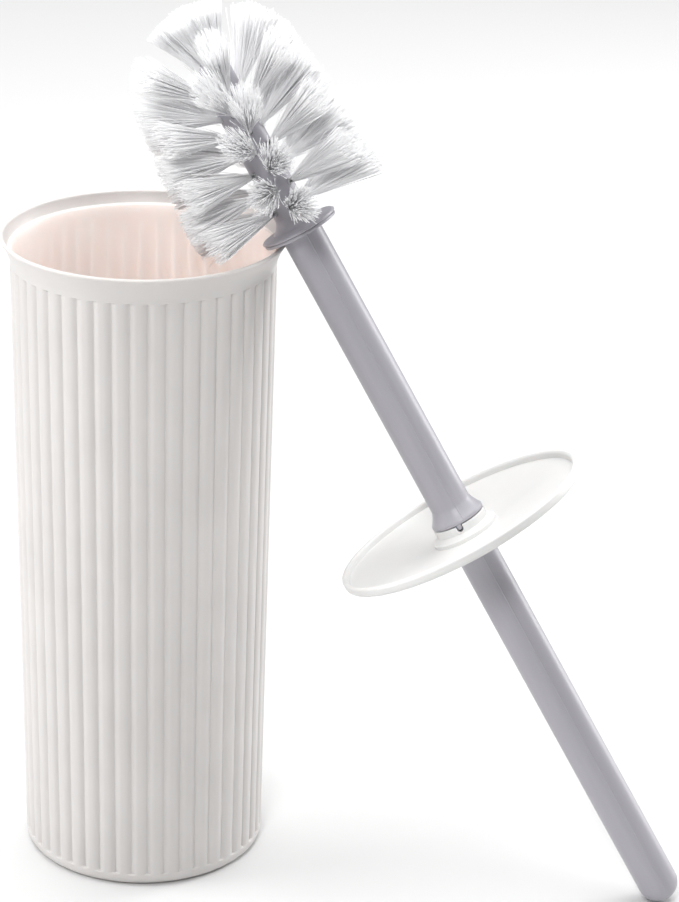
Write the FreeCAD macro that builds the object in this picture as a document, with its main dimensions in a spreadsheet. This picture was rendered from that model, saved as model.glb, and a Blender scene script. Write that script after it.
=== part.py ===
import FreeCAD, Part
import Sketcher
import math
import os

# Toilet brush and canister, millimetres. The canister stands on the floor with its
# base centre at the origin. The brush is out of it, head up: the round end of its
# stick is on the floor and the collar under the head hooks on the canister's lip.

doc = FreeCAD.newDocument("ToiletBrushHolder")
dims = doc.addObject("Spreadsheet::Sheet", "Dims")

# Lengths up the stick ("level") are counted from the tip of its round foot.
DIMENSIONS = (
    ("can_height", 258.0),
    ("can_base_radius", 48.1),
    ("can_top_radius", 51.1),
    ("can_base_round", 4.0),
    ("can_wall", 2.2),
    ("can_floor", 3.2),
    ("can_floor_round", 3.0),
    ("flare_start", 248.5),
    ("flare_round", 26.0),
    ("lip_radius", 55.0),
    ("lip_thickness", 1.8),
    ("ledge_level", 253.3),
    ("ledge_outer_radius", 51.9),
    ("ledge_inner_radius", 50.5),
    ("rib_count", 46.0),
    ("groove_low", 5.0),
    ("groove_high", 247.4),
    ("groove_depth", 1.15),
    ("groove_half_angle", 2.92),
    ("rib_round", 4.4),
    ("rib_turn", 1.6),
    ("foot_spot_x", 207.4),
    ("foot_spot_y", -46.9),
    ("lean", 30.7),
    ("lean_heading", 166.2),
    ("face_turn", 111.25),
    ("lug_turn", 104.9),
    ("stick_radius", 8.0),
    ("bore_radius", 5.8),
    ("skirt_level", 178.4),
    ("skirt_radius", 10.7),
    ("skirt_edge", 1.1),
    ("skirt_top_level", 184.8),
    ("skirt_round", 18.0),
    ("collar_level", 305.5),
    ("collar_radius", 14.8),
    ("collar_thickness", 1.2),
    ("lug_width", 1.8),
    ("lug_length", 2.1),
    ("lug_outer_radius", 10.5),
    ("lug_count", 4.0),
    ("slot_width", 2.5),
    ("slot_depth", 2.6),
    ("lid_radius", 51.3),
    ("lid_face_level", 178.2),
    ("lid_back_level", 175.6),
    ("rim_width", 2.4),
    ("plate_edge_level", 175.6),
    ("plate_thickness", 1.6),
    ("plate_dish", 3.9),
    ("plate_round", 285.0),
    ("hub_hole_radius", 8.06),
    ("boss_radius", 10.75),
    ("boss_level", 178.0),
    ("boss_foot_radius", 13.3),
    ("boss_shoulder_level", 174.8),
    ("spigot_radius", 5.74),
    ("spigot_length", 26.0),
    ("flange_level", 306.8),
    ("flange_radius", 15.2),
    ("flange_thickness", 1.3),
    ("core_radius", 6.8),
    ("core_foot_level", 313.0),
    ("core_shoulder_level", 372.0),
    ("core_tip_level", 379.0),
    ("hole_radius", 1.3),
    ("hole_depth", 3.6),
    ("root_radius", 1.2),
    ("root_depth", 2.0),
    ("root_rise", 2.3),
    ("tuft_count", 6.0),
    ("crown_count", 6.0),
    ("tuft_turn", 8.75),
    ("anchor_width", 2.2),
    ("anchor_thickness", 0.5),
    ("anchor_height", 1.3),
    ("ring_start", 316.7),
    ("ring_pitch", 8.0),
    ("crown_level", 377.3),
    ("crown_radius", 4.5),
    ("ring_1_tilt", 5.0),
    ("ring_2_tilt", 7.0),
    ("ring_3_tilt", 12.0),
    ("ring_4_tilt", 17.0),
    ("ring_5_tilt", 25.0),
    ("ring_6_tilt", 30.0),
    ("ring_7_tilt", 44.0),
    ("crown_tilt", 72.0),
    ("ring_1_reach", 33.0),
    ("ring_2_reach", 32.4),
    ("ring_3_reach", 32.1),
    ("ring_4_reach", 31.8),
    ("ring_5_reach", 32.2),
    ("ring_6_reach", 32.2),
    ("ring_7_reach", 31.0),
    ("crown_reach", 22.0),
    ("tip_reach", 21.0),
    ("tuft_spread", 6.2),
    ("crown_spread", 4.8),
)

for row, (alias, value) in enumerate(DIMENSIONS, start=1):
    cell = "B" + str(row)
    dims.set("A" + str(row), alias)
    dims.set(cell, str(value))
    dims.setAlias(cell, alias)
doc.recompute()


def dim(alias):
    return float(getattr(dims, alias))


def origin_feature(body, role):
    for feature in body.Origin.OriginFeatures:
        if feature.Role == role:
            return feature
    raise ValueError(role)


def new_body(name):
    body = doc.addObject("PartDesign::Body", name)
    body.Label = name
    return body


def new_sketch(body, name, role, offset_expression=None):
    sketch = body.newObject("Sketcher::SketchObject", name)
    sketch.AttachmentSupport = (origin_feature(body, role), [""])
    sketch.MapMode = "FlatFace"
    if offset_expression:
        sketch.setExpression("AttachmentOffset.Base.z", offset_expression)
    return sketch


def arc_between(start, end, radius, turn):
    # Shorter arc from start to end: turn +1 bends left along the way, -1 bends right.
    chord = end.sub(start)
    half = chord.Length / 2
    rise = math.sqrt(max(radius * radius - half * half, 0.0))
    left = FreeCAD.Vector(-chord.y, chord.x, 0)
    left.normalize()
    centre = start.add(end).multiply(0.5).add(left.multiply(rise * turn))
    circle = Part.Circle(centre, FreeCAD.Vector(0, 0, 1), radius)
    first, last = (start, end) if turn > 0 else (end, start)
    angle_1 = math.atan2(first.y - centre.y, first.x - centre.x)
    angle_2 = math.atan2(last.y - centre.y, last.x - centre.x)
    return Part.ArcOfCircle(circle, angle_1, angle_2)


def closed_outline(sketch, corners):
    # Each corner is (x, y) or (x, y, radius, turn): the last two make the piece that
    # arrives at that corner an arc. Every number is an expression on the sheet.
    points = []
    for corner in corners:
        x = float(sketch.evalExpression(corner[0]))
        y = float(sketch.evalExpression(corner[1]))
        points.append(FreeCAD.Vector(x, y, 0))
    count = len(corners)
    ends = []
    for number in range(count):
        start = points[number]
        following = (number + 1) % count
        end = points[following]
        corner = corners[following]
        if len(corner) == 4:
            radius = float(sketch.evalExpression(corner[2]))
            piece = sketch.addGeometry(arc_between(start, end, radius, corner[3]), False)
            ends.append((piece, 1, 2) if corner[3] > 0 else (piece, 2, 1))
            bend = sketch.addConstraint(Sketcher.Constraint("Radius", piece, radius))
            sketch.renameConstraint(bend, "bend_" + str(following))
            sketch.setExpression("Constraints.bend_" + str(following), corner[2])
        else:
            piece = sketch.addGeometry(Part.LineSegment(start, end), False)
            ends.append((piece, 1, 2))
    for number in range(count):
        piece, first, last = ends[number]
        other, other_first, other_last = ends[(number + 1) % count]
        sketch.addConstraint(Sketcher.Constraint("Coincident", piece, last, other, other_first))
    for number in range(count):
        piece, first, last = ends[number]
        pin_corner(sketch, number, piece, first, points[number], corners[number])


def pin_corner(sketch, number, piece, end, point, corner):
    for letter, kind, value, text in (
        ("x", "DistanceX", point.x, corner[0]),
        ("y", "DistanceY", point.y, corner[1]),
    ):
        if text == "0":
            axis = -2 if letter == "x" else -1
            sketch.addConstraint(Sketcher.Constraint("PointOnObject", piece, end, axis))
            continue
        index = sketch.addConstraint(Sketcher.Constraint(kind, -1, 1, piece, end, value))
        sketch.renameConstraint(index, letter + str(number))
        sketch.setExpression("Constraints." + letter + str(number), text)


def revolve(body, sketch, name):
    feature = body.newObject("PartDesign::Revolution", name)
    feature.Profile = sketch
    feature.ReferenceAxis = (sketch, ["V_Axis"])
    feature.Angle = 360
    sketch.Visibility = False
    return feature


def repeat_round(body, features, name, count_expression):
    pattern = body.newObject("PartDesign::PolarPattern", name)
    pattern.Originals = features
    pattern.Axis = (origin_feature(body, "Z_Axis"), [""])
    pattern.Angle = 360
    pattern.setExpression("Occurrences", count_expression)
    body.Tip = pattern
    return pattern


def leaning(turn):
    # Placement of everything on the brush: own Z runs up the stick from the foot's tip.
    heading = FreeCAD.Rotation(FreeCAD.Vector(0, 0, 1), dim("lean_heading"))
    lean = FreeCAD.Rotation(FreeCAD.Vector(0, 1, 0), dim("lean"))
    spin = FreeCAD.Rotation(FreeCAD.Vector(0, 0, 1), turn)
    rotation = heading.multiply(lean).multiply(spin)
    up_stick = rotation.multVec(FreeCAD.Vector(0, 0, 1))
    radius = dim("stick_radius")
    ball_centre = FreeCAD.Vector(dim("foot_spot_x"), dim("foot_spot_y"), radius)
    tip = ball_centre.sub(up_stick.multiply(radius))
    return FreeCAD.Placement(tip, rotation)


def build_canister():
    body = new_body("canister")
    section = new_sketch(body, "wall_section", "XZ_Plane")
    half_lip = "Dims.lip_thickness / 2"
    closed_outline(section, (
        ("0", "0"),
        ("Dims.can_base_radius - Dims.can_base_round", "0"),
        ("Dims.can_base_radius", "Dims.can_base_round", "Dims.can_base_round", 1),
        ("Dims.can_top_radius", "Dims.flare_start"),
        ("Dims.lip_radius", "Dims.can_height - " + half_lip, "Dims.flare_round", -1),
        ("Dims.lip_radius - " + half_lip, "Dims.can_height", half_lip, 1),
        ("Dims.lip_radius - Dims.lip_thickness", "Dims.can_height - " + half_lip, half_lip, 1),
        ("Dims.ledge_outer_radius", "Dims.ledge_level"),
        ("Dims.ledge_inner_radius", "Dims.ledge_level"),
        ("Dims.can_top_radius - Dims.can_wall", "Dims.flare_start"),
        ("Dims.can_base_radius - Dims.can_wall", "Dims.can_floor + Dims.can_floor_round"),
        ("Dims.can_base_radius - Dims.can_wall - Dims.can_floor_round", "Dims.can_floor",
         "Dims.can_floor_round", -1),
        ("0", "Dims.can_floor"),
    ))
    revolve(body, section, "wall")
    low = groove_sketch(body, "groove_section_low", "Dims.groove_low")
    high = groove_sketch(body, "groove_section_high", "Dims.groove_high")
    doc.recompute()
    groove = body.newObject("PartDesign::SubtractiveLoft", "groove")
    groove.Profile = low
    groove.Sections = [high]
    groove.Ruled = True
    doc.recompute()
    repeat_round(body, [groove], "grooves", "Dims.rib_count")
    body.Placement = FreeCAD.Placement(
        FreeCAD.Vector(0, 0, 0), FreeCAD.Rotation(FreeCAD.Vector(0, 0, 1), dim("rib_turn")))
    return body


def groove_sketch(body, name, level):
    # Cusp between two convex ribs, at one height of the tapered wall.
    sketch = new_sketch(body, name, "XY_Plane", level)
    taper = "(Dims.can_top_radius - Dims.can_base_radius) / (Dims.flare_start - Dims.can_base_round)"
    radius = "(Dims.can_base_radius + (" + level + " - Dims.can_base_round) * " + taper + ")"
    crest_x = radius + " * cos(Dims.groove_half_angle)"
    crest_y = radius + " * sin(Dims.groove_half_angle)"
    outside = radius + " + 2"
    closed_outline(sketch, (
        (radius + " - Dims.groove_depth", "0", "Dims.rib_round", -1),
        (crest_x, "-" + crest_y, "Dims.rib_round", -1),
        (outside, "-" + crest_y),
        (outside, crest_y),
        (crest_x, crest_y),
    ))
    return sketch


def build_stick():
    body = new_body("stick")
    section = new_sketch(body, "tube_section", "XZ_Plane")
    closed_outline(section, (
        ("0", "0"),
        ("Dims.stick_radius", "Dims.stick_radius", "Dims.stick_radius", 1),
        ("Dims.stick_radius", "Dims.skirt_level"),
        ("Dims.skirt_radius", "Dims.skirt_level"),
        ("Dims.skirt_radius", "Dims.skirt_level + Dims.skirt_edge"),
        ("Dims.stick_radius", "Dims.skirt_top_level", "Dims.skirt_round", -1),
        ("Dims.stick_radius", "Dims.collar_level"),
        ("Dims.collar_radius", "Dims.collar_level"),
        ("Dims.collar_radius", "Dims.collar_level + Dims.collar_thickness"),
        ("Dims.bore_radius", "Dims.collar_level + Dims.collar_thickness"),
        ("Dims.bore_radius", "Dims.stick_radius"),
        ("0", "Dims.stick_radius - Dims.bore_radius", "Dims.bore_radius", -1),
    ))
    revolve(body, section, "tube")
    lug_side = new_sketch(body, "lug_side", "YZ_Plane", "Dims.stick_radius - 1")
    finger_outline(lug_side, "Dims.lug_width", "Dims.skirt_level + 0.3",
                   "Dims.skirt_level - Dims.lug_length")
    doc.recompute()
    lug = body.newObject("PartDesign::Pad", "lug")
    lug.Profile = lug_side
    lug.setExpression("Length", "Dims.lug_outer_radius - Dims.stick_radius + 1")
    doc.recompute()
    repeat_round(body, [lug], "lugs", "Dims.lug_count")
    body.Placement = leaning(dim("lug_turn"))
    return body


def finger_outline(sketch, width, top, bottom):
    # Straight-sided tongue or slot with a round lower end.
    side = "(" + width + ") / 2"
    shoulder = bottom + " + " + side
    closed_outline(sketch, (
        ("-" + side, top),
        ("-" + side, shoulder),
        (side, shoulder, side + " * 1.001", 1),
        (side, top),
    ))


def build_lid():
    body = new_body("lid")
    section = new_sketch(body, "lid_section", "XZ_Plane")
    half_rim = "Dims.rim_width / 2"
    inside = "Dims.lid_radius - Dims.rim_width"
    dish_level = "Dims.plate_edge_level - Dims.plate_dish"
    back_level = "Dims.plate_edge_level - Dims.plate_thickness"
    closed_outline(section, (
        ("Dims.hub_hole_radius", "Dims.boss_level"),
        ("Dims.hub_hole_radius", back_level + " - Dims.plate_dish"),
        ("Dims.lid_radius - Dims.plate_thickness", back_level, "Dims.plate_round", 1),
        ("Dims.lid_radius", "Dims.lid_back_level", "Dims.plate_thickness * 1.01", 1),
        ("Dims.lid_radius", "Dims.lid_face_level - " + half_rim),
        ("Dims.lid_radius - " + half_rim, "Dims.lid_face_level", half_rim, 1),
        (inside, "Dims.lid_face_level - " + half_rim, half_rim, 1),
        (inside + " - 0.2", "Dims.plate_edge_level"),
        ("Dims.boss_foot_radius", dish_level, "Dims.plate_round", -1),
        ("Dims.boss_foot_radius", "Dims.boss_shoulder_level - 1.6"),
        ("Dims.boss_radius", "Dims.boss_shoulder_level"),
        ("Dims.boss_radius", "Dims.boss_level - 0.3"),
        ("Dims.boss_radius - 0.3", "Dims.boss_level"),
    ))
    revolve(body, section, "plate_rim_and_boss")
    slot_side = new_sketch(body, "slot_side", "YZ_Plane", "Dims.boss_radius + 1")
    finger_outline(slot_side, "Dims.slot_width", "Dims.boss_level + 1",
                   "Dims.boss_level - Dims.slot_depth")
    doc.recompute()
    slot = body.newObject("PartDesign::Pocket", "slot")
    slot.Profile = slot_side
    slot.setExpression("Length", "Dims.boss_radius + 1 - Dims.stick_radius + 1")
    doc.recompute()
    repeat_round(body, [slot], "slots", "Dims.lug_count")
    body.Placement = leaning(dim("lug_turn"))
    return body


# Tufts stand in rings. Each entry: name, number of tufts, radius and level where a
# tuft leaves the core, tilt towards the head's tip, reach and end radius.
RINGS = []
for ring_number in range(1, 8):
    ring_alias = "Dims.ring_" + str(ring_number)
    RINGS.append((
        "ring_" + str(ring_number),
        "Dims.tuft_count",
        "Dims.core_radius",
        "Dims.ring_start + Dims.ring_pitch * " + str(ring_number - 1),
        ring_alias + "_tilt",
        ring_alias + "_reach",
        "Dims.tuft_spread",
        1 if ring_number % 2 else -1,
    ))
RINGS.append(("crown", "Dims.crown_count", "Dims.crown_radius", "Dims.crown_level",
              "Dims.crown_tilt", "Dims.crown_reach", "Dims.crown_spread", -2))
RINGS.append(("tip", "1", "0", "Dims.core_tip_level", "90", "Dims.tip_reach",
              "Dims.crown_spread", 0))


def ring_turn(side):
    # Neighbouring rings are turned against each other, so their tufts interleave.
    return dim("tuft_turn") * side


def along_tuft(sketch, radius, level, tilt):
    # Lays a sketch of the XZ plane with its Y axis along a tuft.
    sketch.AttachmentOffset = FreeCAD.Placement(
        FreeCAD.Vector(0, 0, 0), FreeCAD.Rotation(FreeCAD.Vector(0, 0, 1), -45))
    sketch.setExpression("AttachmentOffset.Base.x", radius)
    sketch.setExpression("AttachmentOffset.Base.y", level)
    sketch.setExpression("AttachmentOffset.Rotation.Angle", tilt + " - 90")


def build_head_core():
    body = new_body("head_core")
    section = new_sketch(body, "core_section", "XZ_Plane")
    flange_top = "Dims.flange_level + Dims.flange_thickness"
    closed_outline(section, (
        ("0", "Dims.flange_level - Dims.spigot_length"),
        ("Dims.spigot_radius - 0.8", "Dims.flange_level - Dims.spigot_length"),
        ("Dims.spigot_radius", "Dims.flange_level - Dims.spigot_length + 0.8"),
        ("Dims.spigot_radius", "Dims.flange_level"),
        ("Dims.flange_radius - 0.4", "Dims.flange_level"),
        ("Dims.flange_radius", "Dims.flange_level + 0.4"),
        ("Dims.flange_radius", flange_top + " - 0.4"),
        ("Dims.flange_radius - 0.6", flange_top),
        ("Dims.core_radius + 3.2", flange_top + " + 0.6"),
        ("Dims.core_radius", "Dims.core_foot_level", "7", -1),
        ("Dims.core_radius", "Dims.core_shoulder_level"),
        ("0", "Dims.core_tip_level", "Dims.core_radius * 1.01", 1),
    ))
    revolve(body, section, "core")
    doc.recompute()
    for name, count, radius, level, tilt, reach, spread, side in RINGS:
        hole = body.newObject("PartDesign::SubtractiveCylinder", name + "_hole")
        hole.setExpression("Radius", "Dims.hole_radius")
        hole.setExpression("Height", "Dims.hole_depth + 3")
        hole.Placement = hole_placement(radius, level, tilt, side)
        doc.recompute()
        if count != "1":
            repeat_round(body, [hole], name + "_holes", count)
            doc.recompute()
    body.Placement = leaning(dim("face_turn"))
    return body


def hole_placement(radius, level, tilt, side):
    slant = float(dims.evalExpression(tilt))
    turn = FreeCAD.Rotation(FreeCAD.Vector(0, 0, 1), ring_turn(side))
    way_in = turn.multiply(FreeCAD.Rotation(FreeCAD.Vector(0, 1, 0), 90 - slant))
    mouth_x = float(dims.evalExpression(radius))
    mouth_z = float(dims.evalExpression(level))
    mouth = turn.multVec(FreeCAD.Vector(mouth_x, 0, mouth_z))
    depth = way_in.multVec(FreeCAD.Vector(0, 0, dim("hole_depth")))
    return FreeCAD.Placement(mouth.sub(depth), way_in)


def build_tufts(name, count, radius, level, tilt, reach, spread, side):
    body = new_body("tufts_" + name if count != "1" else "tuft_" + name)
    half = new_sketch(body, name + "_tuft_half", "XZ_Plane")
    along_tuft(half, radius, level, tilt)
    closed_outline(half, (
        ("0", "-Dims.root_depth"),
        ("Dims.root_radius", "-Dims.root_depth"),
        ("Dims.root_radius", "Dims.root_rise"),
        (spread, reach),
        ("0", reach),
    ))
    revolve(body, half, name + "_tuft")
    doc.recompute()
    if count != "1":
        repeat_round(body, [body.Tip], name + "_tufts", count)
    body.Placement = leaning(dim("face_turn") + ring_turn(side))
    return body


def build_anchors(name, count, radius, level, tilt, reach, spread, side):
    # Flat wire staples at the bottom of the holes, which the bristles are folded over.
    body = new_body("anchors_" + name if count != "1" else "anchor_" + name)
    face = new_sketch(body, name + "_anchor_face", "XZ_Plane")
    along_tuft(face, radius, level, tilt)
    low = "-(Dims.hole_depth - 0.15)"
    high = "-(Dims.hole_depth - 0.15 - Dims.anchor_height)"
    closed_outline(face, (
        ("-Dims.anchor_width / 2", low),
        ("Dims.anchor_width / 2", low),
        ("Dims.anchor_width / 2", high),
        ("-Dims.anchor_width / 2", high),
    ))
    doc.recompute()
    plate = body.newObject("PartDesign::Pad", name + "_anchor")
    plate.Profile = face
    plate.setExpression("Length", "Dims.anchor_thickness")
    plate.SideType = "Symmetric"
    doc.recompute()
    if count != "1":
        repeat_round(body, [plate], name + "_anchors", count)
    body.Placement = leaning(dim("face_turn") + ring_turn(side))
    return body


pieces = [build_canister(), build_stick(), build_lid(), build_head_core()]
for ring in RINGS:
    pieces.append(build_tufts(*ring))
for ring in RINGS:
    pieces.append(build_anchors(*ring))
doc.recompute()

for item in doc.Objects:
    if "Invalid" in item.State or "Error" in item.State:
        raise RuntimeError("not computed: " + item.Name)
for piece in pieces:
    if piece.Shape.isNull() or not piece.Shape.isValid() or not piece.Shape.Solids:
        raise RuntimeError("no solid: " + piece.Label)

os.makedirs("parts", exist_ok=True)
for piece in pieces:
    piece.Shape.exportStep(os.path.join("parts", piece.Label + ".step"))
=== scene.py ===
import math
import random
import bpy
from mathutils import Matrix, Vector


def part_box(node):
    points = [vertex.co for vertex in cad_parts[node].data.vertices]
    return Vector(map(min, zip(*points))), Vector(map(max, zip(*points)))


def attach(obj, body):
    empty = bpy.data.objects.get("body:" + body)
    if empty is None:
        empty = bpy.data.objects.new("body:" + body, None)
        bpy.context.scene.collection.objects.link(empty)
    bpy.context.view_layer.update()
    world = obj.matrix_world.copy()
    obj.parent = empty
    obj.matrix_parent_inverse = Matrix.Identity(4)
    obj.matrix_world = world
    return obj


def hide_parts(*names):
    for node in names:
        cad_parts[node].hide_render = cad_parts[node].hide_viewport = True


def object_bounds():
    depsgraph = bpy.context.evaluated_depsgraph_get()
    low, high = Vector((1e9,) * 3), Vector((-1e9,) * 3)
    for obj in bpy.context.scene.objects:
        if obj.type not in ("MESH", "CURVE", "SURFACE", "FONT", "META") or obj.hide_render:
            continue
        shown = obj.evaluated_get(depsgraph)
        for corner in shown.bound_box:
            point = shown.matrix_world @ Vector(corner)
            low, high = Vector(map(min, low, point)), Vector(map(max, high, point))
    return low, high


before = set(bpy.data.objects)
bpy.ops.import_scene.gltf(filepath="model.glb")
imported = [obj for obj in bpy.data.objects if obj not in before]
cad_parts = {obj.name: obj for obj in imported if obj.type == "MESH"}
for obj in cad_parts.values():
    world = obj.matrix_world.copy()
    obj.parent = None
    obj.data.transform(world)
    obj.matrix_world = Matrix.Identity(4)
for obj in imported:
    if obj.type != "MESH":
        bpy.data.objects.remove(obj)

mm = 0.001
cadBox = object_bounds()
random.seed(44)


def hexToLinear(text):
    values = [int(text[i:i + 2], 16) / 255 for i in (1, 3, 5)]
    linear = [v / 12.92 if v <= 0.04045 else ((v + 0.055) / 1.055) ** 2.4 for v in values]
    return (linear[0], linear[1], linear[2], 1.0)


def addNode(tree, kind, settings=None, links=None):
    # settings: the node's own options or input values; links: what goes into its inputs
    node = tree.nodes.new(kind)
    for name, value in (settings or {}).items():
        if isinstance(name, str) and hasattr(node, name):
            setattr(node, name, value)
        else:
            node.inputs[name].default_value = value
    for name, source in (links or {}).items():
        tree.links.new(source, node.inputs[name])
    return node


def newMaterial(name):
    material = bpy.data.materials.new(name)
    material.use_nodes = True
    tree = material.node_tree
    return material, tree, tree.nodes["Principled BSDF"]


def addTint(tree, shader, pattern, dark, light):
    tint = addNode(tree, "ShaderNodeValToRGB", {}, {"Fac": pattern})
    low, high = tint.color_ramp.elements
    low.position, high.position = 0.3, 0.7
    low.color, high.color = hexToLinear(dark), hexToLinear(light)
    tree.links.new(tint.outputs["Color"], shader.inputs["Base Color"])


# the satin that a blasted mould leaves; the real grain is about 0.05 mm and is drawn
# coarser, at each plastic's grainSize, so that it shows at all
satinGrain = {"detail": 3.0, "smoother": 0.05, "rougher": 0.06, "bump": 0.35}


def addGrain(tree, shader, place, look):
    grain = addNode(tree, "ShaderNodeTexNoise",
                    {"Scale": 1 / (look["grainSize"] * mm), "Detail": satinGrain["detail"]},
                    {"Vector": place.outputs["Object"]})
    satin = addNode(tree, "ShaderNodeMapRange", {"To Min": look["roughness"] - satinGrain["smoother"],
                                                 "To Max": look["roughness"] + satinGrain["rougher"]},
                    {"Value": grain.outputs["Fac"]})
    tree.links.new(satin.outputs["Result"], shader.inputs["Roughness"])
    bump = addNode(tree, "ShaderNodeBump",
                   {"Strength": satinGrain["bump"], "Distance": look["grainHeight"] * mm},
                   {"Height": grain.outputs["Fac"]})
    tree.links.new(bump.outputs["Normal"], shader.inputs["Normal"])


def arcPoints(start, end, radius, turn, steps):
    # points of an arc from start to end, start left out; turn 1 bends left on the way
    ax, ay = start
    bx, by = end
    chord = math.hypot(bx - ax, by - ay)
    rise = math.sqrt(max(radius * radius - chord * chord / 4, 0.0)) * turn
    cx = (ax + bx) / 2 - (by - ay) / chord * rise
    cy = (ay + by) / 2 + (bx - ax) / chord * rise
    first = math.atan2(ay - cy, ax - cx)
    last = math.atan2(by - cy, bx - cx)
    sweep = (last - first) % (2 * math.pi)
    if turn < 0:
        sweep -= 2 * math.pi
    return [(cx + radius * math.cos(first + sweep * n / steps),
             cy + radius * math.sin(first + sweep * n / steps)) for n in range(1, steps + 1)]


def lathe(section, angles, radiusAt):
    # closed skin round Z; a section that starts and ends on the axis is closed with fans
    points, faces, rows = [], [], []
    for number, (radius, height) in enumerate(section):
        if radius < 0.001:
            rows.append([len(points)] * len(angles))
            points.append((0, 0, height * mm))
            continue
        rows.append(list(range(len(points), len(points) + len(angles))))
        for angle in angles:
            r = radiusAt(number, radius, height, angle) * mm
            points.append((r * math.cos(angle), r * math.sin(angle), height * mm))
    rowOfFace = []
    for number in range(len(rows) - 1):
        low, high = rows[number], rows[number + 1]
        for k in range(len(angles)):
            after = (k + 1) % len(angles)
            corners = [low[k], low[after], high[after], high[k]]
            face = [c for i, c in enumerate(corners) if c not in corners[:i]]
            if len(face) > 2:
                faces.append(face)
                rowOfFace.append(number)
    return points, faces, rowOfFace


def addPiece(name, points, faces, materials, body, nodes, place=None):
    mesh = bpy.data.meshes.new(name)
    mesh.from_pydata(points, [], faces)
    mesh.update()
    mesh.shade_smooth()
    piece = bpy.data.objects.new(name, mesh)
    bpy.context.scene.collection.objects.link(piece)
    for material in materials:
        mesh.materials.append(material)
    if place:
        piece.matrix_world = place
    bpy.context.view_layer.update()
    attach(piece, body)
    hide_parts(*nodes)
    return piece


# the brush's own frame: Z runs up the stick from the tip of its round foot, X faces the front
brush = {"footRadius": 8.0, "lean": 30.7, "heading": 166.2, "turn": 111.25}
stickLow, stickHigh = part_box("stick")
ballCentre = Vector((stickHigh.x - brush["footRadius"] * mm, stickLow.y + brush["footRadius"] * mm,
                     stickLow.z + brush["footRadius"] * mm))
brushTurn = (Matrix.Rotation(math.radians(brush["heading"]), 4, "Z")
             @ Matrix.Rotation(math.radians(brush["lean"]), 4, "Y")
             @ Matrix.Rotation(math.radians(brush["turn"]), 4, "Z"))
upStick = brushTurn.to_3x3() @ Vector((0, 0, 1))
brushFrame = Matrix.Translation(ballCentre - upStick * brush["footRadius"] * mm) @ brushTurn


# White polypropylene, injection moulded in a finely blasted mould: soft satin sheen with
# no mirror image, a little light inside the wall, faint cloudiness where it flowed.
whitePlastic = {
    # the lid's colours are a neutral white of its own, and are also painted lighter than the canister's
    # white: painted light for the light its face doesn't get
    "color": "#d4d1cf", "cloud": "#cfccca", "lid": "#dfdfde", "lidPaintedLightCloud": "#dbdbda",
    # the inner wall's colours are painted lighter and warmer than the outside's: a painted glow of light
    # coming through the wall
    "inside": "#e9e1de", "insidePaintedGlowCloud": "#e5dbd8",
    "roughness": 0.42, "ior": 1.49, "scatter": 0.35, "scatterDepth": 1.6,
    "insideScatter": 1.0, "insideDepth": 5.0, "scatterTint": (1.0, 0.82, 0.74),
    "cloudSize": 28.0, "grainSize": 0.35, "grainHeight": 0.012,
}


def mouldedWhite(name, color, cloud, scatter, depth):
    material, tree, shader = newMaterial(name)
    look = whitePlastic
    place = addNode(tree, "ShaderNodeTexCoord")
    clouds = addNode(tree, "ShaderNodeTexNoise", {"Scale": 1 / (look["cloudSize"] * mm), "Detail": 2.0},
                     {"Vector": place.outputs["Object"]})
    addTint(tree, shader, clouds.outputs["Fac"], cloud, color)
    addGrain(tree, shader, place, look)
    shader.inputs["IOR"].default_value = look["ior"]
    shader.inputs["Subsurface Weight"].default_value = scatter
    shader.inputs["Subsurface Radius"].default_value = look["scatterTint"]
    shader.inputs["Subsurface Scale"].default_value = depth * mm
    return material


# Grey polypropylene, injection moulded in a two-part mould: cool lilac grey, satin, with
# faint streaks along the flow.
greyPlastic = {
    "color": "#aaa8af", "streak": "#a5a3aa", "roughness": 0.38, "ior": 1.49,
    "streakWidth": 3.0, "streakLength": 60.0, "grainSize": 0.3, "grainHeight": 0.01,
}


def mouldedGrey():
    material, tree, shader = newMaterial("greyPolypropyleneMoulded")
    look = greyPlastic
    place = addNode(tree, "ShaderNodeTexCoord")
    squeeze = look["streakWidth"] / look["streakLength"]
    stretch = addNode(tree, "ShaderNodeMapping", {"Scale": (1, 1, squeeze)},
                      {"Vector": place.outputs["Object"]})
    streaks = addNode(tree, "ShaderNodeTexNoise", {"Scale": 1 / (look["streakWidth"] * mm), "Detail": 2.0},
                      {"Vector": stretch.outputs["Vector"]})
    addTint(tree, shader, streaks.outputs["Fac"], look["streak"], look["color"])
    addGrain(tree, shader, place, look)
    shader.inputs["IOR"].default_value = look["ior"]
    return material


# Nylon filament, drawn and cut: glossy, milky white, each strand a touch lighter or darker.
nylon = {
    "light": "#fdfdfd", "dark": "#f5f5f7", "roughness": 0.34, "ior": 1.53,
    "scatter": 0.3, "scatterDepth": 0.08,
}


def drawnNylon():
    material, tree, shader = newMaterial("nylonFilamentDrawn")
    strand = addNode(tree, "ShaderNodeNewGeometry")
    tint = addNode(tree, "ShaderNodeValToRGB", {}, {"Fac": strand.outputs["Random Per Island"]})
    tint.color_ramp.elements[0].color = hexToLinear(nylon["dark"])
    tint.color_ramp.elements[1].color = hexToLinear(nylon["light"])
    tree.links.new(tint.outputs["Color"], shader.inputs["Base Color"])
    shader.inputs["Roughness"].default_value = nylon["roughness"]
    shader.inputs["IOR"].default_value = nylon["ior"]
    shader.inputs["Subsurface Weight"].default_value = nylon["scatter"]
    shader.inputs["Subsurface Radius"].default_value = (1.0, 1.0, 1.0)
    shader.inputs["Subsurface Scale"].default_value = nylon["scatterDepth"] * mm
    return material


# Steel wire, drawn flat and cut: bright, with fine lines.
steelWire = {
    "color": "#c2c1bf", "roughness": 0.32, "smoother": 0.08, "rougher": 0.1,
    "lineSize": 0.12, "lineSqueeze": 0.05,
}


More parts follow.
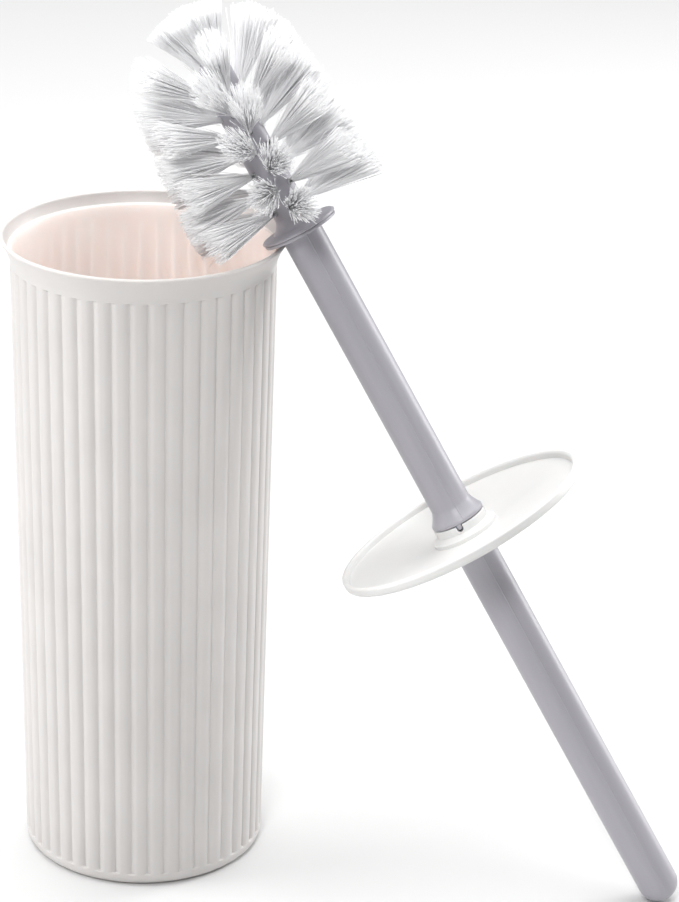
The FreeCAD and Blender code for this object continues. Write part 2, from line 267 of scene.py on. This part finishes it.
def drawnSteel():
    material, tree, shader = newMaterial("steelWireDrawn")
    place = addNode(tree, "ShaderNodeTexCoord")
    stretch = addNode(tree, "ShaderNodeMapping", {"Scale": (1, 1, steelWire["lineSqueeze"])},
                      {"Vector": place.outputs["Object"]})
    lines = addNode(tree, "ShaderNodeTexNoise", {"Scale": 1 / (steelWire["lineSize"] * mm), "Detail": 1.0},
                    {"Vector": stretch.outputs["Vector"]})
    rough = addNode(tree, "ShaderNodeMapRange", {"To Min": steelWire["roughness"] - steelWire["smoother"],
                                                 "To Max": steelWire["roughness"] + steelWire["rougher"]},
                    {"Value": lines.outputs["Fac"]})
    tree.links.new(rough.outputs["Result"], shader.inputs["Roughness"])
    shader.inputs["Base Color"].default_value = hexToLinear(steelWire["color"])
    shader.inputs["Metallic"].default_value = 1.0
    return material


plain = (whitePlastic["scatter"], whitePlastic["scatterDepth"])
deep = (whitePlastic["insideScatter"], whitePlastic["insideDepth"])
whiteOutside = mouldedWhite("whitePolypropyleneMoulded", whitePlastic["color"], whitePlastic["cloud"], *plain)
# the lid's copy of the white is painted lighter: painted light on its face
whiteLidPaintedLight = mouldedWhite("whitePolypropyleneLidPaintedLight", whitePlastic["lid"], whitePlastic["lidPaintedLightCloud"], *plain)
# light comes through the thin wall, so the inside is made to scatter all of it, a little warm; its colour is
# also painted lighter and warmer than the outside's, a painted glow of the light that comes through
whiteInsidePaintedGlow = mouldedWhite("whitePolypropyleneInnerWallPaintedGlow", whitePlastic["inside"],
                           whitePlastic["insidePaintedGlowCloud"], *deep)
greyMoulded = mouldedGrey()
bristleNylon = drawnNylon()
anchorSteel = drawnSteel()
print("materials made")


# ribbed wall, flared lip with a ledge for the lid
canister = {
    "baseRadius": 48.1, "topRadius": 51.1, "baseRound": 4.0, "wall": 2.2, "floor": 3.2,
    "flareStart": 248.5, "flareRound": 26.0, "lipThickness": 1.8,
    "ledge": 253.3, "ledgeOuter": 51.9, "ledgeInner": 50.5,
    "ribs": 46, "ribsTurned": 1.6, "grooveLow": 5.0, "grooveHigh": 247.4, "grooveDepth": 1.15,
    "grooveHalf": 2.51, "grooveEnd": 0.6, "ribRound": 4.4, "valleyRound": 0.07,
    "insideRound": 3.0, "insideRipple": 0.09, "rippleLow": 12, "rippleRise": 20,
    "rippleHigh": 246, "rippleFall": 6,
}


def grooveDepthAt(across):
    # depth of the valley between two convex ribs, at a distance from its middle
    half, depth, bend = canister["grooveHalf"], canister["grooveDepth"], canister["ribRound"]
    across = abs(across)
    if across >= half:
        return 0.0
    span = math.hypot(half, depth)
    away = math.sqrt(bend * bend - span * span / 4)
    middleX = half / 2 + depth / span * away
    middleY = -depth / 2 - half / span * away
    return -(middleY + math.sqrt(bend * bend - (across - middleX) ** 2))


def buildCanister():
    low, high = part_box("canister")
    height = high.z / mm
    lipRadius = (high.x - low.x) / 2 / mm
    c = canister
    halfLip = c["lipThickness"] / 2
    pitch = 2 * math.pi / c["ribs"]
    turned = math.radians(c["ribsTurned"])
    middleRadius = (c["baseRadius"] + c["topRadius"]) / 2
    # distances from a valley's middle, closest together where the wall bends most
    across = [0.0, 0.2, 0.5, 0.9, 1.4, 2.0, 2.6, 3.1]
    steps = [-a for a in reversed(across[1:])] + across
    angles = [turned + pitch * n + a / middleRadius for n in range(c["ribs"]) for a in steps]

    section = [(0, 0), (20, 0), (c["baseRadius"] - c["baseRound"], 0)]
    section += arcPoints(section[-1], (c["baseRadius"], c["baseRound"]), c["baseRound"], 1, 5)
    taper = (c["topRadius"] - c["baseRadius"]) / (c["flareStart"] - c["baseRound"])
    end = c["grooveEnd"]
    heights = [c["grooveLow"] - 0.15]
    heights += [c["grooveLow"] + end * f for f in (0, 0.25, 0.5, 0.75, 1, 1.6)]
    heights += [c["grooveLow"] + (c["grooveHigh"] - c["grooveLow"]) * n / 10 for n in range(1, 10)]
    heights += [c["grooveHigh"] - end * f for f in (1.6, 1, 0.75, 0.5, 0.25, 0)]
    heights += [c["grooveHigh"] + 0.15, c["flareStart"]]
    section += [(c["baseRadius"] + (z - c["baseRound"]) * taper, z) for z in heights]
    section += arcPoints(section[-1], (lipRadius, height - halfLip), c["flareRound"], -1, 7)
    section += arcPoints(section[-1], (lipRadius - halfLip, height), halfLip, 1, 5)
    section += arcPoints(section[-1], (lipRadius - c["lipThickness"], height - halfLip), halfLip, 1, 5)
    ledge = c["ledge"]
    section += [(c["ledgeOuter"] + 0.12, ledge + 0.35), (c["ledgeOuter"], ledge + 0.1),
                (c["ledgeOuter"] - 0.15, ledge), (c["ledgeInner"] + 0.2, ledge),
                (c["ledgeInner"] + 0.02, ledge - 0.08), (c["ledgeInner"] - 0.1, ledge - 0.35)]
    insideTop = (c["topRadius"] - c["wall"], c["flareStart"])
    innerStart = len(section)
    insideLow = c["floor"] + c["insideRound"]
    section += [insideTop]
    section += [(insideTop[0] - (c["topRadius"] - c["baseRadius"]) * n / 10,
                 insideTop[1] - (insideTop[1] - insideLow) * n / 10) for n in range(1, 11)]
    insideFoot = (c["baseRadius"] - c["wall"] - c["insideRound"], c["floor"])
    section += arcPoints(section[-1], insideFoot, c["insideRound"], -1, 5)
    section += [(20, c["floor"]), (0, c["floor"])]

    def radiusAt(number, radius, z, angle):
        fromValley = (angle - turned + pitch / 2) % pitch - pitch / 2
        if number < innerStart:
            rise = min(z - c["grooveLow"], c["grooveHigh"] - z) / end
            if rise <= 0:
                return radius
            ease = min(rise, 1.0)
            ease = ease * ease * (3 - 2 * ease)
            depth = grooveDepthAt(fromValley * middleRadius)
            if depth > c["grooveDepth"] - 0.02:
                depth -= c["valleyRound"]
            return radius - depth * ease
        # the wall is a touch thinner behind each valley
        rising = (z - c["rippleLow"]) / c["rippleRise"]
        falling = (c["rippleHigh"] - z) / c["rippleFall"]
        fade = max(0.0, min(1.0, rising, falling))
        return radius + c["insideRipple"] * fade * math.cos(fromValley / pitch * 2 * math.pi)

    points, faces, rowOfFace = lathe(section, angles, radiusAt)
    piece = addPiece("canister_body", points, faces, [whiteOutside, whiteInsidePaintedGlow],
                     "canister", ["canister"])
    ledgeRow = innerStart - 4
    piece.data.polygons.foreach_set("material_index", [1 if row >= ledgeRow else 0 for row in rowOfFace])


buildCanister()
print("canister built")


# hollow moulding with a round foot, a skirt over the lid's boss and a collar
stick = {
    "radius": 8.0, "bore": 5.8,
    "skirtLevel": 178.4, "skirtRadius": 10.7, "skirtEdge": 1.1, "skirtTop": 184.8, "skirtRound": 18.0,
    "collarLevel": 305.5, "collarRadius": 14.8, "collarThickness": 1.2,
    "lugs": 4, "lugWidth": 1.8, "lugLength": 2.1, "lugReach": 10.5, "lugAngle": -6.35,
    "mouldLine": 9.65, "mouldLineWidth": 0.5, "mouldLineHeight": 0.2,
}


def addLug(points, faces, angle):
    # tongue with a half-round lower end, rooted in the stick and in the skirt
    s = stick
    half = s["lugWidth"] / 2
    bottom = s["skirtLevel"] - s["lugLength"] + half
    outline = [(-half, s["skirtLevel"] + 0.3)]
    outline += [(-half * math.cos(math.pi * n / 10), bottom - half * math.sin(math.pi * n / 10))
                for n in range(11)]
    outline += [(half, s["skirtLevel"] + 0.3)]
    layers = [(s["radius"] - 0.6, 1.0), (s["lugReach"] - 0.2, 1.0), (s["lugReach"] - 0.06, 0.94),
              (s["lugReach"], 0.82)]
    first = len(points)
    cosine, sine = math.cos(angle), math.sin(angle)
    for reach, size in layers:
        for y, z in outline:
            y = y * size
            z = bottom + (z - bottom) * size if z < bottom else z
            points.append(((reach * cosine - y * sine) * mm, (reach * sine + y * cosine) * mm, z * mm))
    count = len(outline)
    for layer in range(len(layers) - 1):
        for k in range(count):
            a = first + layer * count + k
            b = first + layer * count + (k + 1) % count
            faces.append([a, b, b + count, a + count])
    faces.append([first + k for k in reversed(range(count))])
    faces.append([first + (len(layers) - 1) * count + k for k in range(count)])


def buildStick():
    s = stick
    r = s["radius"]
    section = [(0, 0)] + arcPoints((0, 0), (r, r), r, 1, 14)
    section += [(r, z) for z in (30, 60, 90, 120, 150, s["skirtLevel"] - 0.15)]
    section += [(r + 0.2, s["skirtLevel"]), (s["skirtRadius"] - 0.25, s["skirtLevel"])]
    section += arcPoints(section[-1], (s["skirtRadius"], s["skirtLevel"] + 0.25), 0.25, 1, 4)
    section += [(s["skirtRadius"], s["skirtLevel"] + s["skirtEdge"] - 0.1)]
    section += [(s["skirtRadius"] - 0.04, s["skirtLevel"] + s["skirtEdge"] + 0.12)]
    section += arcPoints(section[-1], (r, s["skirtTop"]), s["skirtRound"], -1, 8)
    section += [(r, z) for z in (s["skirtTop"] + 0.4, 210, 240, 270, 295, s["collarLevel"] - 0.5)]
    section += arcPoints(section[-1], (r + 0.5, s["collarLevel"]), 0.5, -1, 3)
    section += [(s["collarRadius"] - 0.4, s["collarLevel"])]
    section += arcPoints(section[-1], (s["collarRadius"], s["collarLevel"] + 0.4), 0.4, 1, 4)
    top = s["collarLevel"] + s["collarThickness"]
    section += [(s["collarRadius"], top - 0.3)]
    section += arcPoints(section[-1], (s["collarRadius"] - 0.3, top), 0.3, 1, 3)
    section += [(s["bore"] + 0.2, top), (s["bore"], top - 0.2)]
    section += [(s["bore"], 200), (s["bore"], 100), (s["bore"], r)]
    section += arcPoints(section[-1], (0, r - s["bore"]), s["bore"], -1, 8)

    line = math.radians(s["mouldLine"])
    halfLine = s["mouldLineWidth"] / 2 / r
    narrow = [-1.6, -1.0, -0.45, 0.0, 0.45, 1.0, 1.6]
    angles = []
    for side in (line - math.pi, line):
        angles += [side + halfLine * f for f in narrow]
        angles += [side + halfLine * 1.6 + (math.pi - halfLine * 3.2) * n / 56 for n in range(1, 56)]

    def radiusAt(number, radius, z, angle):
        if radius < r - 0.01 or z < 3:
            return radius
        fromLine = min(abs(angle - line), abs(angle - line + math.pi))
        rise = max(0.0, 1 - fromLine / halfLine)
        return radius + s["mouldLineHeight"] * min(1.0, rise * 1.6)

    points, faces = lathe(section, angles, radiusAt)[:2]
    for n in range(s["lugs"]):
        addLug(points, faces, math.radians(s["lugAngle"] + 360 / s["lugs"] * n))
    addPiece("stick_moulding", points, faces, [greyMoulded], "stick", ["stick"], brushFrame)


buildStick()
print("stick built")

for name, material in (("lid", whiteLidPaintedLight), ("head_core", greyMoulded)):
    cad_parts[name].data.materials[0] = material
for name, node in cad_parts.items():
    if name.startswith("anchor"):
        node.data.materials[0] = anchorSteel


# tufts of cut filament, each strand set into its hole and trimmed to one shape; the fold
# round the wire anchor is out of sight in the hole and isn't drawn
bristles = {
    "coreRadius": 6.8, "tuftsRound": 6, "turn": 8.75,
    "ringStart": 316.7, "ringPitch": 8.0, "tilts": (5, 7, 12, 17, 25, 30, 44),
    "crownCount": 6, "crownTurn": -17.5, "crownRadius": 4.5,
    "crownLevel": 377.3, "crownTilt": 72, "tipLevel": 379.0,
    "perTuft": 300, "strandRadius": 0.13, "rootRadius": 1.0, "rootDepth": 1.8, "rootRise": 1.6,
    "fanAlong": 12.0, "fanAcross": 10.5, "clumps": 7, "clumpPull": 0.3, "ragged": 0.3,
    "turnScatter": 0.15, "fanScatter": 0.08, "bow": 0.35,
    "strays": 0.02, "strayFan": 1.7, "strayBow": 3.0, "shortest": 12.0, "longest": 45, "lengthStep": 0.25,
    "trim": ((300, 40.6), (311, 40.3), (337, 38.5), (355, 36.9), (376, 34.2), (383, 31.0), (391, 24.4),
             (396.5, 14.0), (399, 6.0), (400, 0.5)),
}
# strands that come this close to the canister's lip are left out
lipRoom = {"inwards": 7, "outwards": 1, "below": 12, "above": 0.6}
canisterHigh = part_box("canister")[1]


def trimRadius(level):
    pairs = bristles["trim"]
    for (lowLevel, lowRadius), (highLevel, highRadius) in zip(pairs, pairs[1:]):
        if level <= highLevel:
            share = max(0.0, (level - lowLevel) / (highLevel - lowLevel))
            return lowRadius + (highRadius - lowRadius) * share
    return 0.0


def strandLength(start, way):
    length = bristles["shortest"]
    while length < bristles["longest"]:
        point = start + way * length
        if math.hypot(point.x, point.y) > trimRadius(point.z):
            break
        length += bristles["lengthStep"]
    return length


def nearLip(point):
    world = brushFrame @ (point * mm)
    rim, top = canisterHigh.x, canisterHigh.z
    away = math.hypot(world.x, world.y)
    if not rim - lipRoom["inwards"] * mm < away < rim + lipRoom["outwards"] * mm:
        return False
    return top - lipRoom["below"] * mm < world.z < top + lipRoom["above"] * mm


def addStrand(points, faces, path, radius):
    sides = 4
    first = len(points)
    spin = random.random() * math.pi
    for number, centre in enumerate(path):
        ahead = path[min(number + 1, len(path) - 1)] - path[max(number - 1, 0)]
        ahead.normalize()
        side = ahead.orthogonal().normalized()
        other = ahead.cross(side)
        for k in range(sides):
            angle = spin + 2 * math.pi * k / sides
            corner = centre + (side * math.cos(angle) + other * math.sin(angle)) * radius
            points.append(corner * mm)
    for number in range(len(path) - 1):
        for k in range(sides):
            a = first + number * sides + k
            b = first + number * sides + (k + 1) % sides
            faces.append([a, b, b + sides, a + sides])
    last = first + (len(path) - 1) * sides
    faces.append([first + k for k in reversed(range(sides))])
    faces.append([last + k for k in range(sides)])


def addTuft(points, faces, mouth, out, along, across):
    b = bristles
    spread = [(random.uniform(-1, 1), random.uniform(-1, 1)) for n in range(b["clumps"])]
    golden = math.pi * (3 - math.sqrt(5))
    for n in range(b["perTuft"]):
        share = math.sqrt((n + 0.5) / b["perTuft"])
        turn = n * golden + random.gauss(0, b["turnScatter"])
        p, q = share * math.cos(turn), share * math.sin(turn)
        near = min(spread, key=lambda c: (c[0] - p) ** 2 + (c[1] - q) ** 2)
        pull = b["clumpPull"] * random.random()
        fanP = p + (near[0] - p) * pull + random.gauss(0, b["fanScatter"])
        fanQ = q + (near[1] - q) * pull + random.gauss(0, b["fanScatter"])
        stray = random.random() < b["strays"]
        if stray:
            fanP, fanQ = fanP * b["strayFan"], fanQ * b["strayFan"]
        way = out + along * math.tan(math.radians(b["fanAlong"] * fanP))
        way += across * math.tan(math.radians(b["fanAcross"] * fanQ))
        way.normalize()
        root = mouth + (along * p + across * q) * b["rootRadius"]
        start = root + out * b["rootRise"]
        length = strandLength(start, way) + random.gauss(0, b["ragged"])
        bend = along * random.gauss(0, 1) + across * random.gauss(0, 1)
        bend *= b["bow"] * (b["strayBow"] if stray else 1.0)
        path = [root - out * b["rootDepth"], root + out * 0.3, start + way * 1.0]
        for f in (0.35, 0.7, 1.0):
            path.append(start + way * (length * f) + bend * (f * f - f * 0.45))
        middles = [(path[i] + path[i + 1]) / 2 for i in (3, 4)]
        if any(nearLip(point) for point in path + middles):
            continue
        addStrand(points, faces, path, b["strandRadius"])


def buildRing(node, places):
    points, faces = [], []
    for radius, level, tilt, angle in places:
        outward = Vector((math.cos(angle), math.sin(angle), 0))
        upward = Vector((0, 0, 1))
        slant = math.radians(tilt)
        out = outward * math.cos(slant) + upward * math.sin(slant)
        along = upward * math.cos(slant) - outward * math.sin(slant)
        across = Vector((-math.sin(angle), math.cos(angle), 0))
        addTuft(points, faces, outward * radius + upward * level, out, along, across)
    addPiece("filaments_" + node, points, faces, [bristleNylon], "head", [node], brushFrame)


def buildBristles():
    b = bristles
    for ring, tilt in enumerate(b["tilts"], start=1):
        level = b["ringStart"] + b["ringPitch"] * (ring - 1)
        turn = b["turn"] if ring % 2 else -b["turn"]
        angles = [math.radians(turn + 360 / b["tuftsRound"] * n) for n in range(b["tuftsRound"])]
        buildRing("tufts_ring_" + str(ring), [(b["coreRadius"], level, tilt, angle) for angle in angles])
    angles = [math.radians(b["crownTurn"] + 360 / b["crownCount"] * n) for n in range(b["crownCount"])]
    buildRing("tufts_crown", [(b["crownRadius"], b["crownLevel"], b["crownTilt"], angle) for angle in angles])
    buildRing("tuft_tip", [(0.0, b["tipLevel"], 90, 0.0)])


buildBristles()
print("bristles built")


# pale floor, softboxes, camera
studio = {
    "floor": "#dedede", "floorSize": 8.0, "floorGap": 0.0002, "floorRoughness": 0.9,
    "world": "#ffffff", "worldStrength": 0.22, "bounces": 20, "diffuseBounces": 16,
    "softboxes": (
        # name, place, aim, width, height, watts (metres)
        ("overhead", (0.0, 0.5, 2.4), (0.05, 0.1, 0.0), 2.6, 2.6, 70.0),
        ("keyLeft", (-1.5, -0.15, 0.75), (0.0, 0.0, 0.18), 0.9, 1.3, 16.0),
        ("rimRight", (1.35, 0.75, 0.6), (0.05, 0.0, 0.15), 0.5, 1.2, 16.0),
        ("headFront", (-0.1, -0.9, 1.0), (0.035, 0.0, 0.33), 0.25, 0.25, 6.0),
    ),
}


def aimed(place, target):
    place, target = Vector(place), Vector(target)
    turn = (target - place).to_track_quat("-Z", "Y").to_matrix().to_4x4()
    return Matrix.Translation(place) @ turn


def buildStudio():
    half = studio["floorSize"] / 2
    mesh = bpy.data.meshes.new("studioFloor")
    corners = [(-half, -half, 0), (half, -half, 0), (half, half, 0), (-half, half, 0)]
    mesh.from_pydata(corners, [], [(0, 1, 2, 3)])
    floor = bpy.data.objects.new("studioFloor", mesh)
    bpy.context.scene.collection.objects.link(floor)
    floor.location.z = cadBox[0].z - studio["floorGap"]
    material, tree, shader = newMaterial("paperBackdropMatt")
    shader.inputs["Base Color"].default_value = hexToLinear(studio["floor"])
    shader.inputs["Roughness"].default_value = studio["floorRoughness"]
    mesh.materials.append(material)

    world = bpy.data.worlds.new("studioWorld")
    world.use_nodes = True
    background = world.node_tree.nodes["Background"]
    background.inputs["Color"].default_value = hexToLinear(studio["world"])
    background.inputs["Strength"].default_value = studio["worldStrength"]
    bpy.context.scene.world = world

    for name, place, target, width, height, watts in studio["softboxes"]:
        light = bpy.data.lights.new(name, "AREA")
        light.shape = "RECTANGLE"
        light.size, light.size_y, light.energy = width, height, watts
        box = bpy.data.objects.new(name, light)
        box.matrix_world = aimed(place, target)
        bpy.context.scene.collection.objects.link(box)


camera = {
    "target": (76.58, 0.0, 170.12), "elevation": 22.5, "distance": 1200.0, "roll": 1.49,
    "lens": 122.25, "sensor": 36.0,
}


def buildCamera():
    e, roll = math.radians(camera["elevation"]), math.radians(camera["roll"])
    back = Vector((0, -math.cos(e), math.sin(e)))
    right, up = Vector((1, 0, 0)), Vector((0, math.sin(e), math.cos(e)))
    sideways = right * math.cos(roll) + up * math.sin(roll)
    upward = up * math.cos(roll) - right * math.sin(roll)
    place = (Vector(camera["target"]) + back * camera["distance"]) * mm
    data = bpy.data.cameras.new("studioCamera")
    data.lens = camera["lens"]
    data.sensor_width = camera["sensor"]
    data.clip_start, data.clip_end = 0.05, 20
    body = bpy.data.objects.new("studioCamera", data)
    body.matrix_world = Matrix.Translation(place) @ Matrix((sideways, upward, back)).transposed().to_4x4()
    bpy.context.scene.collection.objects.link(body)
    bpy.context.scene.camera = body


buildStudio()
buildCamera()
bpy.context.scene.view_settings.view_transform = "Standard"
# light has to pass between many white strands before it leaves a tuft
bpy.context.scene.cycles.max_bounces = studio["bounces"]
bpy.context.scene.cycles.diffuse_bounces = studio["diffuseBounces"]
print("studio built")
